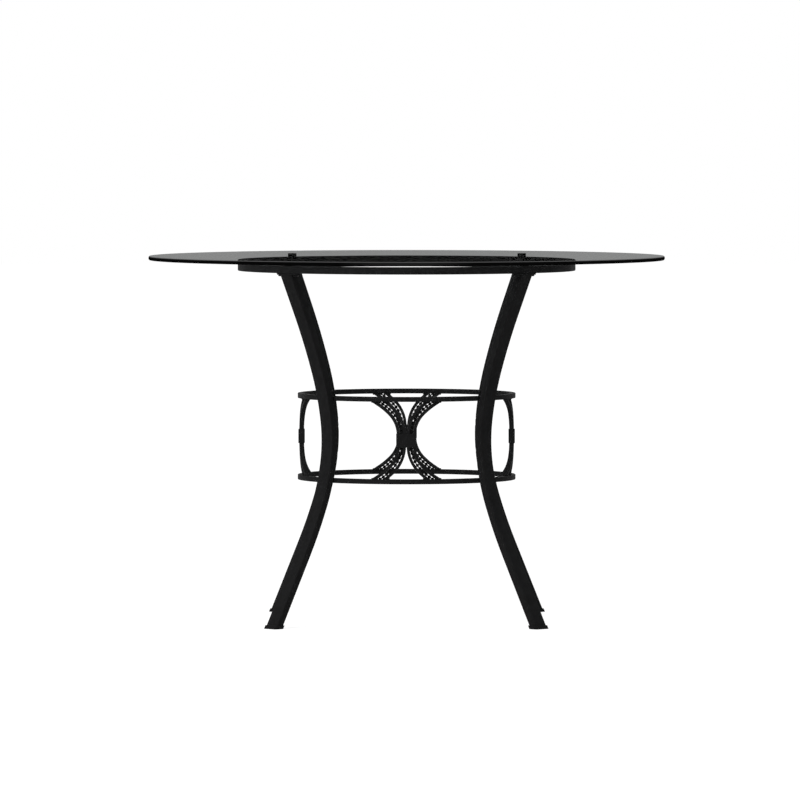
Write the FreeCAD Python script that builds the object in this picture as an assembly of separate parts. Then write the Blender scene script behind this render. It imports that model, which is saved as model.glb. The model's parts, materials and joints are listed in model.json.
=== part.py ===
# Round dining table: a glass top that rests on rubber pads, a ring under it, four bent
# legs, and two hoops inside the legs that hold four panels of scrolls.
# Millimetres, +Z up. The origin is on the floor, below the middle of the top. The front
# is -Y. The legs stand on the diagonals and the panels face the four sides.
import FreeCAD, Part
import math
import os

V = FreeCAD.Vector
ORIGIN = V(0, 0, 0)
UP = V(0, 0, 1)

# Whole table
table_height = 754.0
cut_overrun = 5.0

# Glass top, loose on its pads
glass_diameter = 1067.0
glass_thickness = 8.0
glass_arris = 1.0

# Rubber pads, each with a stem pressed into the ring
pad_diameter = 18.0
pad_height = 7.0
pad_edge_radius = 1.5
pad_stem_diameter = 6.0
pad_stem_length = 6.0
pad_stem_clearance = 0.1

# Ring under the glass, a rolled rectangular tube
ring_diameter = 698.0
ring_tube_width = 18.0
ring_tube_height = 15.0
ring_tube_wall = 1.5
ring_corner_radius = 1.5

# Legs, flat tubes bent in an upright plane. The angles are degrees from upright, positive
# where the leg runs outward as it rises, each at a share of the height under the ring.
leg_width = 32.0
leg_depth = 16.0
leg_wall = 1.5
leg_corner_radius = 2.0
leg_hollow_radius = 0.5
leg_top_offset = 1.0
leg_bend_shares = (0.207, 0.345, 0.456, 0.580, 0.718, 0.884)
leg_bend_angles = (-29.1, -22.3, -9.9, 8.3, 19.5, 25.5)

# Plates that close the tops of the legs and take the ring's screws beside them
plate_width = 18.0
plate_thickness = 3.0
plate_head_gap = 0.75
plate_end_margin = 8.0

# Button head screws through the plates, and the rivet nuts in the ring that take them
plate_screw_diameter = 6.0
plate_screw_length = 14.0
plate_screw_head_diameter = 10.5
plate_screw_head_height = 3.3
screw_hole_clearance = 0.3
screw_bore_clearance = 0.05
rivet_nut_diameter = 9.0
rivet_nut_length = 9.0
rivet_nut_bulge = 1.4
rivet_nut_bulge_length = 1.6
rivet_nut_clearance = 0.1

# Hoops inside the legs, each at a share of the height under the ring
hoop_bar_width = 12.0
hoop_bar_height = 10.0
hoop_corner_radius = 0.8
upper_hoop_share = 0.6436
lower_hoop_share = 0.4109

# Blocks welded into the legs, against which the hoops are screwed
seat_width = 24.0
seat_reach_in_leg = 8.0
seat_gap = 0.1
hoop_screw_diameter = 5.0
hoop_screw_length = 20.0
hoop_screw_head_diameter = 9.0
hoop_screw_head_height = 2.8

# Hexagon sockets of the screws, as shares of their heads
socket_width_share = 0.38
socket_depth_share = 0.6
head_rounding_share = 0.45

# Foot caps
cap_clearance = 0.2
cap_wall = 2.4
cap_sole = 3.0
cap_height = 7.0

# Scrolls: two bars with a twisted ribbon between them, bent away from the middle of the
# panel. The angles are degrees from upright at shares of the way from the middle of the
# panel to the hoop. The panels are bent round the table like the hoops, and bow outward
# a little between them.
scroll_bar_width = 6.0
scroll_bar_depth = 9.0
scroll_bar_gap = 7.0
scroll_throat_gap = 1.0
scroll_bend_shares = (0.143, 0.748, 1.0)
scroll_bend_angles = (0.0, 46.0, 60.3)
panel_bow = 3.8
ribbon_width = 6.2
ribbon_thickness = 1.6
ribbon_half_pitch = 8.8
ribbon_steps = 6

# Collars that hold each pair of scrolls together
collar_height = 28.0
collar_side_wall = 0.8
collar_face_wall = 1.2
collar_side_clearance = 0.5
collar_face_clearance = 0.3
collar_corner_radius = 1.0

# Where the corners and the sides lie, in degrees from +X
corner_angles = (("front_left", 225), ("front_right", 315), ("back_right", 45), ("back_left", 135))
side_angles = (("front", 270), ("right", 0), ("back", 90), ("left", 180))
hands = (("left", -1), ("right", 1))

# Levels and radii that follow from the sizes above
glass_level = table_height - glass_thickness
ring_top = glass_level - pad_height
ring_bottom = ring_top - ring_tube_height
ring_middle_radius = ring_diameter / 2 - ring_tube_width / 2
leg_top = ring_bottom - plate_thickness
upper_hoop_level = ring_bottom * upper_hoop_share
lower_hoop_level = ring_bottom * lower_hoop_share
plate_screw_spacing = leg_width + plate_screw_head_diameter + 2 * plate_head_gap
plate_length = plate_screw_spacing + 2 * plate_end_margin


def turned(shape, angle):
    """A piece made facing +X, turned to its own side of the table."""
    return shape.rotated(ORIGIN, UP, angle)


def save(name, shape):
    """Write one node's file."""
    shape.exportStep("parts/" + name + ".step")


def band(radius_out, radius_in, bottom, top):
    """A ring with square edges between two levels."""
    outer = Part.makeCylinder(radius_out, top - bottom, V(0, 0, bottom))
    inner = Part.makeCylinder(radius_in, top - bottom, V(0, 0, bottom))
    return outer.cut(inner)


def slab(reach, bottom, top):
    """A wide block between two levels, to cut pieces off level."""
    return Part.makeBox(2 * reach, 2 * reach, top - bottom, V(-reach, -reach, bottom))


# A bent line is a list of knots (across, height, lean) in one upright plane. It runs
# straight between knots of the same lean and along one tangent arc between the others.


def arc_radius(low, high):
    """Radius of the arc between two knots, negative where the line bends inward."""
    return (high[1] - low[1]) / (math.sin(high[2]) - math.sin(low[2]))


def is_straight(low, high):
    """Whether the line keeps its lean between two knots."""
    return high[2] == low[2]


def knot_at_lean(low, high, lean):
    """The point of an arc where the line has a given lean."""
    radius = arc_radius(low, high)
    across = low[0] + radius * (math.cos(low[2]) - math.cos(lean))
    height = low[1] + radius * (math.sin(lean) - math.sin(low[2]))
    return (across, height, lean)


def bent_line(across, stations):
    """Knots upward from a first place across, through stations of height and lean."""
    knots = [(across, stations[0][0], math.radians(stations[0][1]))]
    for height, lean in stations[1:]:
        low = knots[-1]
        high = (0, height, math.radians(lean))
        if is_straight(low, high):
            run = (height - low[1]) * math.tan(low[2])
        else:
            run = arc_radius(low, high) * (math.cos(low[2]) - math.cos(high[2]))
        knots.append((low[0] + run, height, high[2]))
    return knots


def knot_at_height(knots, height):
    """The point of a bent line at a given height."""
    for low, high in zip(knots, knots[1:]):
        if low[1] <= height <= high[1]:
            if is_straight(low, high):
                return (low[0] + (height - low[1]) * math.tan(low[2]), height, low[2])
            sine = math.sin(low[2]) + (height - low[1]) / arc_radius(low, high)
            return knot_at_lean(low, high, math.asin(sine))
    raise ValueError("the line doesn't reach this height")


def beside(knot, offset):
    """The point at an offset outward from a knot, square to the line."""
    across, height, lean = knot
    return V(across + offset * math.cos(lean), 0, height - offset * math.sin(lean))


def line_edges(knots, offset):
    """The bent line's edges in the XZ plane, moved sideways by an offset."""
    edges = []
    for low, high in zip(knots, knots[1:]):
        start = beside(low, offset)
        end = beside(high, offset)
        if is_straight(low, high):
            edges.append(Part.LineSegment(start, end).toShape())
        else:
            middle = beside(knot_at_lean(low, high, (low[2] + high[2]) / 2), offset)
            edges.append(Part.Arc(start, middle, end).toShape())
    return edges


def flat_strip(knots, offset, width):
    """The flat face of one strip that follows a bent line."""
    near = line_edges(knots, offset - width / 2)
    far = line_edges(knots, offset + width / 2)
    ends = [Part.LineSegment(beside(knot, offset - width / 2), beside(knot, offset + width / 2)).toShape()
            for knot in (knots[0], knots[-1])]
    return Part.Face(Part.Wire(Part.__sortEdges__(near + far + ends)))


def part_length(low, high):
    """Length of the line between two knots."""
    if is_straight(low, high):
        return (high[1] - low[1]) / math.cos(low[2])
    return arc_radius(low, high) * (high[2] - low[2])


def moved_along(knot, run):
    """A knot moved straight on along its lean."""
    across, height, lean = knot
    return (across + run * math.sin(lean), height + run * math.cos(lean), lean)


def walk(knots, count):
    """Knots in equal steps along a bent line."""
    lengths = [part_length(low, high) for low, high in zip(knots, knots[1:])]
    points = []
    for index in range(count + 1):
        along = sum(lengths) * index / count
        part = 0
        while along > lengths[part] and part < len(lengths) - 1:
            along -= lengths[part]
            part += 1
        low, high = knots[part], knots[part + 1]
        if is_straight(low, high):
            points.append(moved_along(low, along))
        else:
            points.append(knot_at_lean(low, high, low[2] + along / arc_radius(low, high)))
    return points


def leg_line():
    """The middle of a leg, from below the floor to above its top."""
    heights = [share * ring_bottom for share in leg_bend_shares]
    stations = [(-leg_depth, leg_bend_angles[0])]
    stations += list(zip(heights, leg_bend_angles))
    stations.append((ring_bottom + leg_depth, leg_bend_angles[-1]))
    at_ring = knot_at_height(bent_line(0, stations), ring_bottom)
    return bent_line(ring_middle_radius + leg_top_offset - at_ring[0], stations)


def leg_blank(knots, widening, corner):
    """A solid bar along the leg, wider than the tube by a widening on every side."""
    half_width = leg_width / 2 + widening
    depth = leg_depth + 2 * widening
    side = flat_strip(knots, 0, depth).translated(V(0, -half_width, 0))
    bar = side.extrude(V(0, 2 * half_width, 0))
    long_edges = [edge for edge in bar.Edges
                  if edge.BoundBox.YLength < half_width and edge.Length > 2 * depth]
    return bar.makeFillet(corner, long_edges)


def hoop_radius(level):
    """Outside radius of the hoop that just fits between the legs at its level."""
    edge = leg_depth / 2 + seat_gap
    reaches = []
    for height in (level - hoop_bar_height / 2, level + hoop_bar_height / 2):
        across, _, lean = knot_at_height(leg_line(), height)
        reaches.append(across - edge / math.cos(lean))
    return min(reaches)


hoop_levels = (upper_hoop_level, lower_hoop_level)
hoop_outer_radius = min(hoop_radius(level) for level in hoop_levels)
hoop_inner_radius = hoop_outer_radius - hoop_bar_width
scroll_radius_in = hoop_inner_radius
scroll_radius_out = scroll_radius_in + scroll_bar_depth
scroll_radius = (scroll_radius_in + scroll_radius_out) / 2
panel_top = upper_hoop_level - hoop_bar_height / 2
panel_bottom = lower_hoop_level + hoop_bar_height / 2
panel_middle = (panel_top + panel_bottom) / 2
panel_half = (panel_top - panel_bottom) / 2
scroll_width = 2 * scroll_bar_width + scroll_bar_gap


def button_screw(diameter, length, head_diameter, head_height):
    """A screw that points along +Z, with the underside of its head at the origin."""
    head = Part.makeCylinder(head_diameter / 2, head_height, V(0, 0, -head_height))
    crown = [edge for edge in head.Edges if edge.BoundBox.ZMax < -head_height / 2]
    head = head.makeFillet(head_height * head_rounding_share, crown)
    across_flats = head_diameter * socket_width_share
    reach = across_flats / math.sqrt(3)
    points = [V(reach * math.cos(math.radians(60 * corner)), reach * math.sin(math.radians(60 * corner)),
                -head_height) for corner in range(7)]
    socket = Part.Face(Part.makePolygon(points)).extrude(V(0, 0, head_height * socket_depth_share))
    shank = Part.makeCylinder(diameter / 2, length)
    return head.cut(socket).fuse(shank).removeSplitter()


def plate_screw_places():
    """The places of a corner's two plate screws, seen from above."""
    return [V(ring_middle_radius, side * plate_screw_spacing / 2, 0) for side in (-1, 1)]


def make_glass_top():
    disc = Part.makeCylinder(glass_diameter / 2, glass_thickness, V(0, 0, glass_level))
    rims = [edge for edge in disc.Edges if edge.BoundBox.XLength > glass_diameter / 2]
    save("glass_top", disc.makeChamfer(glass_arris, rims))


def make_top_ring():
    outer = ring_diameter / 2
    inner = outer - ring_tube_width
    ring = band(outer, inner, ring_bottom, ring_top)
    rims = [edge for edge in ring.Edges if edge.BoundBox.ZLength < ring_corner_radius]
    ring = ring.makeFillet(ring_corner_radius, rims)
    hollow = band(outer - ring_tube_wall, inner + ring_tube_wall, ring_bottom + ring_tube_wall,
                  ring_top - ring_tube_wall)
    ring = ring.cut(hollow)
    for _, angle in corner_angles:
        stem = Part.makeCylinder(pad_stem_diameter / 2 + pad_stem_clearance, ring_tube_height / 2,
                                 V(ring_middle_radius, 0, ring_top - ring_tube_height / 2))
        ring = ring.cut(turned(stem, angle))
        for place in plate_screw_places():
            hole = Part.makeCylinder(rivet_nut_diameter / 2 + rivet_nut_clearance, ring_tube_height / 2,
                                     place + V(0, 0, ring_bottom))
            ring = ring.cut(turned(hole, angle))
    save("top_ring", ring)


def make_glass_pads():
    for corner, angle in corner_angles:
        pad = Part.makeCylinder(pad_diameter / 2, pad_height, V(ring_middle_radius, 0, ring_top))
        rim = [edge for edge in pad.Edges if edge.BoundBox.ZMin > ring_top + pad_height / 2]
        pad = pad.makeFillet(pad_edge_radius, rim)
        stem = Part.makeCylinder(pad_stem_diameter / 2, pad_stem_length,
                                 V(ring_middle_radius, 0, ring_top - pad_stem_length))
        save("glass_pad_" + corner, turned(pad.fuse(stem), angle))


def seat_block(level):
    """The block at one hoop's level, before it is joined to the leg."""
    across = knot_at_height(leg_line(), level)[0]
    reach = across - leg_depth / 2 + seat_reach_in_leg
    block = Part.makeBox(reach, seat_width, hoop_bar_height,
                         V(0, -seat_width / 2, level - hoop_bar_height / 2))
    return block.cut(Part.makeCylinder(hoop_outer_radius + seat_gap, table_height))


def hoop_screw_hole(level, clearance):
    """A hole along +X from inside the hoop to beyond the screw's tip."""
    length = hoop_screw_length + 2 * cut_overrun
    return Part.makeCylinder(hoop_screw_diameter / 2 + clearance, length,
                             V(hoop_inner_radius - cut_overrun, 0, level), V(1, 0, 0))


def make_legs():
    knots = leg_line()
    leg = leg_blank(knots, 0, leg_corner_radius).cut(leg_blank(knots, -leg_wall, leg_hollow_radius))
    for level in hoop_levels:
        leg = leg.fuse(seat_block(level)).cut(hoop_screw_hole(level, screw_bore_clearance))
    leg = leg.common(slab(glass_diameter, cap_sole, leg_top))
    for corner, angle in corner_angles:
        save("leg_" + corner, turned(leg, angle))


def make_foot_caps():
    shin = leg_line()[:2]
    growth = cap_clearance + cap_wall
    cup = leg_blank(shin, growth, leg_corner_radius + growth).common(slab(glass_diameter, 0, cap_height))
    socket = leg_blank(shin, cap_clearance, leg_corner_radius + cap_clearance)
    cap = cup.cut(socket.common(slab(glass_diameter, cap_sole, table_height)))
    for corner, angle in corner_angles:
        save("foot_cap_" + corner, turned(cap, angle))


def make_leg_plates():
    end_spacing = plate_length - plate_width
    plate = Part.makeBox(plate_width, end_spacing, plate_thickness,
                         V(ring_middle_radius - plate_width / 2, -end_spacing / 2, leg_top))
    for end in (-1, 1):
        middle = V(ring_middle_radius, end * end_spacing / 2, leg_top)
        plate = plate.fuse(Part.makeCylinder(plate_width / 2, plate_thickness, middle))
    for place in plate_screw_places():
        radius = (plate_screw_diameter + screw_hole_clearance) / 2
        plate = plate.cut(Part.makeCylinder(radius, plate_thickness, place + V(0, 0, leg_top)))
    plate = plate.removeSplitter()
    for corner, angle in corner_angles:
        save("leg_plate_" + corner, turned(plate, angle))


def make_plate_screws():
    screw = button_screw(plate_screw_diameter, plate_screw_length, plate_screw_head_diameter,
                         plate_screw_head_height)
    screws = []
    for _, angle in corner_angles:
        for place in plate_screw_places():
            screws.append(turned(screw.translated(place + V(0, 0, leg_top)), angle))
    save("plate_screws", Part.makeCompound(screws))


def make_rivet_nuts():
    barrel = Part.makeCylinder(rivet_nut_diameter / 2, rivet_nut_length)
    bulge = Part.makeCylinder(rivet_nut_diameter / 2 + rivet_nut_bulge, rivet_nut_bulge_length,
                              V(0, 0, ring_tube_wall))
    bore = Part.makeCylinder(plate_screw_diameter / 2 + screw_bore_clearance, rivet_nut_length)
    nut = barrel.fuse(bulge).cut(bore)
    nuts = []
    for _, angle in corner_angles:
        for place in plate_screw_places():
            nuts.append(turned(nut.translated(place + V(0, 0, ring_bottom)), angle))
    save("ring_rivet_nuts", Part.makeCompound(nuts))


def make_hoops():
    for name, level in (("upper_hoop", upper_hoop_level), ("lower_hoop", lower_hoop_level)):
        hoop = band(hoop_outer_radius, hoop_inner_radius, level - hoop_bar_height / 2,
                    level + hoop_bar_height / 2)
        rims = [edge for edge in hoop.Edges if edge.BoundBox.ZLength < hoop_corner_radius]
        hoop = hoop.makeFillet(hoop_corner_radius, rims)
        for _, angle in corner_angles:
            hoop = hoop.cut(turned(hoop_screw_hole(level, screw_hole_clearance / 2), angle))
        save(name, hoop)


def make_hoop_screws():
    screw = button_screw(hoop_screw_diameter, hoop_screw_length, hoop_screw_head_diameter,
                         hoop_screw_head_height)
    screw = screw.rotated(ORIGIN, V(0, 1, 0), 90)
    bearing = math.sqrt(hoop_inner_radius ** 2 - (hoop_screw_head_diameter / 2) ** 2)
    screws = []
    for _, angle in corner_angles:
        for level in hoop_levels:
            screws.append(turned(screw.translated(V(bearing, 0, level)), angle))
    save("hoop_screws", Part.makeCompound(screws))


def scroll_line():
    """The middle of the right-hand scroll on a flat sheet that touches the panel's middle,
    from below one hoop to above the other. Heights count from the panel's middle."""
    stations = [(share * panel_half, lean) for share, lean in zip(scroll_bend_shares, scroll_bend_angles)]
    stations.append((panel_half + scroll_width, scroll_bend_angles[-1]))
    below = [(-height, -lean) for height, lean in reversed(stations)]
    stations = below + stations
    throat = scroll_throat_gap / 2 + scroll_width / 2
    at_middle = knot_at_height(bent_line(0, stations), 0)
    return bent_line(throat - at_middle[0], stations)


def bowed_shell():
    """The barrel-shaped wall that the bars of all panels lie in."""
    sides = []
    for radius in (scroll_radius_in, scroll_radius_out):
        low = V(radius - panel_bow, 0, panel_bottom)
        high = V(radius - panel_bow, 0, panel_top)
        sides.append((low, Part.Arc(low, V(radius, 0, panel_middle), high).toShape(), high))
    (low_in, inner, high_in), (low_out, outer, high_out) = sides
    edges = [inner, outer, Part.makeLine(low_in, low_out), Part.makeLine(high_in, high_out)]
    return Part.Face(Part.Wire(Part.__sortEdges__(edges))).revolve(ORIGIN, UP, 360)


def scroll_bar(offset, shell):
    """One bar of the right-hand scroll of the panel that faces +X, with sides that run
    toward the table's axis."""
    strip = flat_strip(scroll_line(), offset, scroll_bar_width)
    strip = strip.rotated(ORIGIN, UP, 90).translated(V(0, 0, panel_middle))
    outlines = []
    for reach in (scroll_radius / 2, scroll_radius_out + cut_overrun):
        fan = FreeCAD.Matrix()
        fan.scale(1, reach / scroll_radius, 1)
        outlines.append(strip.OuterWire.transformGeometry(fan).translated(V(reach, 0, 0)))
    return Part.makeLoft(outlines, True, True).common(shell)


def panel_radius(height):
    """Radius of the panel's middle surface at a height from its middle."""
    bow_radius = (panel_half ** 2 + panel_bow ** 2) / (2 * panel_bow)
    return scroll_radius - bow_radius + math.sqrt(bow_radius ** 2 - height ** 2)


def ribbon_corners(knot, turn):
    """The four corners of the ribbon's outline at one knot, turned about the ribbon."""
    across, height, lean = knot
    azimuth = math.atan2(across, scroll_radius)
    outward = V(math.cos(azimuth), math.sin(azimuth), 0)
    level_run = math.sin(lean) * math.cos(azimuth) ** 2
    along = V(-math.sin(azimuth) * level_run, math.cos(azimuth) * level_run, math.cos(lean)).normalize()
    point = outward * panel_radius(height) + V(0, 0, panel_middle + height)
    sideways = along.cross(outward)
    wide = (sideways * math.cos(turn) + outward * math.sin(turn)) * (ribbon_width / 2)
    thin = (outward * math.cos(turn) - sideways * math.sin(turn)) * (ribbon_thickness / 2)
    return [point + wide + thin, point - wide + thin, point - wide - thin, point + wide - thin]


def ribbon_outlines():
    """Outlines along the ribbon of the same scroll. It makes whole half turns from hoop to
    hoop, so it lies flat in the panel at both, and runs on far enough to be cut off level."""
    knots = scroll_line()[1:-1]
    length = sum(part_length(low, high) for low, high in zip(knots, knots[1:]))
    count = max(1, round(length / ribbon_half_pitch)) * ribbon_steps
    step = length / count
    beyond = range(1, math.ceil(ribbon_width * math.tan(knots[-1][2]) / step) + 1)
    below = [moved_along(knots[0], -step * index) for index in reversed(beyond)]
    above = [moved_along(knots[-1], step * index) for index in beyond]
    return [ribbon_corners(knot, math.pi * (index - len(below)) / ribbon_steps)
            for index, knot in enumerate(below + walk(knots, count) + above)]


def scroll_ribbon():
    """The twisted ribbon, four ruled faces from each outline to the next."""
    outlines = ribbon_outlines()
    faces = [Part.Face(Part.makePolygon(ends + ends[:1])) for ends in (outlines[0], outlines[-1])]
    for low, high in zip(outlines, outlines[1:]):
        for one in range(4):
            two = (one + 1) % 4
            foot = Part.makeLine(low[one], low[two])
            head = Part.makeLine(high[one], high[two])
            faces.append(Part.makeRuledSurface(foot, head, 1))
    shell = Part.Shell(faces)
    shell.sewShape()
    ribbon = Part.Solid(shell)
    return ribbon.common(slab(glass_diameter, panel_bottom, panel_top))


def mirrored(shape, hand):
    """The right-hand piece itself, or its mirror for the left hand."""
    return shape if hand > 0 else shape.mirror(ORIGIN, V(0, 1, 0))


def make_scrolls():
    offset = (scroll_bar_gap + scroll_bar_width) / 2
    shell = bowed_shell()
    pieces = (("near_bar", scroll_bar(-offset, shell)), ("far_bar", scroll_bar(offset, shell)),
              ("ribbon", scroll_ribbon()))
    for side, angle in side_angles:
        for hand_name, hand in hands:
            for piece_name, piece in pieces:
                name = "scroll_" + side + "_" + hand_name + "_" + piece_name
                save(name, turned(mirrored(piece, hand), angle))


def make_collars():
    """A sleeve round the two scrolls of each panel, as deep as the bent bars need."""
    half_opening = scroll_throat_gap / 2 + scroll_width + collar_side_clearance
    back = math.sqrt(scroll_radius_in ** 2 - half_opening ** 2) - collar_face_clearance
    front = scroll_radius_out + collar_face_clearance
    half_width = half_opening + collar_side_wall
    bottom = panel_middle - collar_height / 2
    depth = front - back + 2 * collar_face_wall
    collar = Part.makeBox(depth, 2 * half_width, collar_height,
                          V(back - collar_face_wall, -half_width, bottom))
    uprights = [edge for edge in collar.Edges if abs(edge.tangentAt(0).z) > 0.5]
    collar = collar.makeFillet(collar_corner_radius, uprights)
    opening = Part.makeBox(front - back, 2 * half_opening, collar_height, V(back, -half_opening, bottom))
    collar = collar.cut(opening)
    for side, angle in side_angles:
        save("collar_" + side, turned(collar, angle))


os.makedirs("parts", exist_ok=True)
make_glass_top()
make_top_ring()
make_glass_pads()
make_legs()
make_foot_caps()
make_leg_plates()
make_plate_screws()
make_rivet_nuts()
make_hoops()
make_hoop_screws()
make_scrolls()
make_collars()
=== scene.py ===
import json
import math

import bmesh
import bpy
from bpy.props import FloatProperty, FloatVectorProperty, IntProperty, PointerProperty
from mathutils import Matrix, Vector
from mathutils.geometry import convex_hull_2d


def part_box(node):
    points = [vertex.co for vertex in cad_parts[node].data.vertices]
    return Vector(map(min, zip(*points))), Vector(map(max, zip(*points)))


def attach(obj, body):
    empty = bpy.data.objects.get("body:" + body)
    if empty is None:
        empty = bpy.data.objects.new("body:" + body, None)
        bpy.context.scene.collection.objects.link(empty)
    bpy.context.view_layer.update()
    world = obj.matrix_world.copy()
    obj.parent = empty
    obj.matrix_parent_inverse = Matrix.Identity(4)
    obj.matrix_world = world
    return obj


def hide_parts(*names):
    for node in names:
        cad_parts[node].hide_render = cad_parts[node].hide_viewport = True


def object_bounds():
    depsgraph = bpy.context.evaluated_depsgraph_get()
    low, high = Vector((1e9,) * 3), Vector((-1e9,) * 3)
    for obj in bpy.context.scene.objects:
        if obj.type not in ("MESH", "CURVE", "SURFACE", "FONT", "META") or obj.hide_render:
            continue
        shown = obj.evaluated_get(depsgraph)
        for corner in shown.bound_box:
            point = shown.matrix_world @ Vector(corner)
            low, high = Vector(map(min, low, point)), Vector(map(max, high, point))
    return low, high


bl_info = {
    "name": "Round glass dining table",
    "version": (1, 0, 0),
    "blender": (4, 5, 0),
    "location": "View3D > Sidebar > Table",
    "description": "Dresses a round dining table with a glass top on a bent tube base",
    "category": "Object",
}

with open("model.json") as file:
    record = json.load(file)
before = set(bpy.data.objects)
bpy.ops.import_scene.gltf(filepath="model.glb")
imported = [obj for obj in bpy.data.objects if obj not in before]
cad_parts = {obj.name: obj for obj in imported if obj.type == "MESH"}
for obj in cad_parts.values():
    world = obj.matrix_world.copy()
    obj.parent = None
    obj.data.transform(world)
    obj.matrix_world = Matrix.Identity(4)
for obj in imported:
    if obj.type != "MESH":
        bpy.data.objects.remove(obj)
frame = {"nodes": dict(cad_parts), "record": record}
cad_low, cad_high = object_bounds()

CORNERS = (("front_left", 225), ("front_right", 315), ("back_right", 45), ("back_left", 135))
SIDES = (("front", 270), ("right", 0), ("back", 90), ("left", 180))
HANDS = (("left", -1), ("right", 1))
# How much the glass mirrors, against how far it is turned from the eye: its faces and its
# polished edge. The upper ground arris mirrors the same from all sides.
FACE_GLOSS = ((0.0, 0.018), (0.3, 0.04), (0.62, 0.07), (0.86, 0.05), (0.97, 0.0))
EDGE_GLOSS = ((0.0, 0.016), (0.01, 0.014), (0.035, 0.002), (0.9, 0.002))
ARRIS_GLOSS = 0.1
# The glass's zone, from how far its normal points up or down: 0 on its edge, 0.5 on its arris
# and 1 on its faces. Then the ranges of zone that part these from each other, and the range of
# the normal's height that parts the lower arris from the upper one.
GLASS_ZONES = ((0.0, 0.0), (0.38, 0.0), (0.46, 0.5), (0.84, 0.5), (0.93, 1.0))
EDGE_TO_ARRIS = (0.05, 0.25)
ARRIS_TO_FACE = (0.75, 0.95)
DOWN_TO_UP = (-0.2, 0.2)
# How far the glass is turned from the eye where its tint begins to change, and where that ends
TINT_TURN = (0.45, 0.97)
# How far a round crown stands out half way up to its middle
CROWN_HALF_WAY = 0.75
# The pads: points round one, steps in a moulded edge, the stem's radius as a share of the
# pad's, and the radius and height of the stem's tapered end as shares of the stem's radius
PAD_SEGMENTS = 64
PAD_EDGE_STEPS = 5
PAD_STEM = 1 / 3
STEM_END_WIDTH = 0.8
STEM_END_HEIGHT = 0.3
# One quarter of a ribbon's rounded outline, as shares of its half width and half thickness
RIBBON_CORNER = ((1.0, 0.45), (0.9, 0.85), (0.72, 1.0), (0.24, 1.0))
# Outlines of a ribbon in half a turn, and points in half of the line that they are spaced along
RIBBON_STEPS = 24
LINE_POINTS = 200
# A weld bead: outlines in one ripple, points round it, its least radius in a ripple as a share
# of its radius, and how many radii of its round ends are cut off
BEAD_STEPS = 5
BEAD_SIDES = 10
BEAD_THIN = 0.84
BEAD_END = 0.1
# Where a bead lies, in radii: how far its line sinks below the joint, stands out from a bar and
# from a leg, and moves in toward the axis on a leg, and how wide it goes round a corner. The
# last is how full that corner is, where 1 is square.
BEAD_SUNK = 0.6
BAR_BEAD_OUT = 0.3
LEG_BEAD_OUT = 0.15
LEG_BEAD_IN = 0.27
BEAD_CORNER = 2
CORNER_FULLNESS = 0.7
# Heights that differ by less are one level, and a line's run counts as no shorter than this
LEVEL_TOLERANCE = 0.00001
SHORTEST_RUN = 1e-9
# How much the floor glows, near the table and far away, and how far that is
FLOOR_GLOW = (0.83, 0.93)
FLOOR_REACH = (1.0, 8.0)
# Colours between which the floor's grain goes, for the light on the table and for the eye
FLOOR_LIT = ((0.86, 0.86, 0.86), (0.9, 0.9, 0.9))
FLOOR_SEEN = ((0.25, 0.25, 0.25), (0.27, 0.27, 0.27))
# The floor lies this far under the feet, so that no two faces share a plane
FLOOR_GAP = 0.0002
# Colour sockets of a Mix node, whose names its other sockets have too
MIX_ONE, MIX_TWO, MIX_RESULT = 6, 7, 2

glass_low, glass_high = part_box("glass_top")
_, ring_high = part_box("top_ring")
panel_low, panel_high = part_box("scroll_front_left_ribbon")
panel_half = (panel_high.z - panel_low.z) / 2
panel_middle = (panel_high.z + panel_low.z) / 2
hoop_rim = frame["nodes"]["upper_hoop"].data.vertices
hoop_inner = min(math.hypot(vertex.co.x, vertex.co.y) for vertex in hoop_rim)


# Mesh helpers


def turned_profile(profile, segments):
    """A bmesh of a profile of (radius, height) points spun round Z."""
    bm = bmesh.new()
    rings = []
    for radius, height in profile:
        if radius == 0:
            rings.append([bm.verts.new((0, 0, height))])
            continue
        angles = [2 * math.pi * step / segments for step in range(segments)]
        rings.append([bm.verts.new((radius * math.cos(a), radius * math.sin(a), height)) for a in angles])
    for low, high in zip(rings, rings[1:]):
        for step in range(segments):
            after = (step + 1) % segments
            corners = [low[step % len(low)], low[after % len(low)],
                       high[after % len(high)], high[step % len(high)]]
            unique = list(dict.fromkeys(corners))
            if len(unique) > 2:
                bm.faces.new(unique)
    bmesh.ops.recalc_face_normals(bm, faces=bm.faces)
    return bm


def rounded_corner(centre, radius, start, end, steps):
    """Points of an arc in a profile, from one angle to another in degrees."""
    across, height = centre
    points = []
    for step in range(steps + 1):
        angle = math.radians(start + (end - start) * step / steps)
        points.append((across + radius * math.cos(angle), height + radius * math.sin(angle)))
    return points


def piece_from(bm, name, material, body, replaced=()):
    """A smooth piece of the table from a bmesh in the table's own frame."""
    mesh = bpy.data.meshes.new(name)
    bm.to_mesh(mesh)
    bm.free()
    for polygon in mesh.polygons:
        polygon.use_smooth = True
    piece = bpy.data.objects.new(name, mesh)
    bpy.context.scene.collection.objects.link(piece)
    piece.data.materials.append(material)
    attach(piece, body)
    if replaced:
        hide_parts(*replaced)
    return piece


def sharpen(mesh, angle):
    """Marks the edges that turn by more than an angle in degrees as sharp."""
    bm = bmesh.new()
    bm.from_mesh(mesh)
    for edge in bm.edges:
        edge.smooth = len(edge.link_faces) == 2 and edge.calc_face_angle() < math.radians(angle)
    bm.to_mesh(mesh)
    bm.free()


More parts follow.
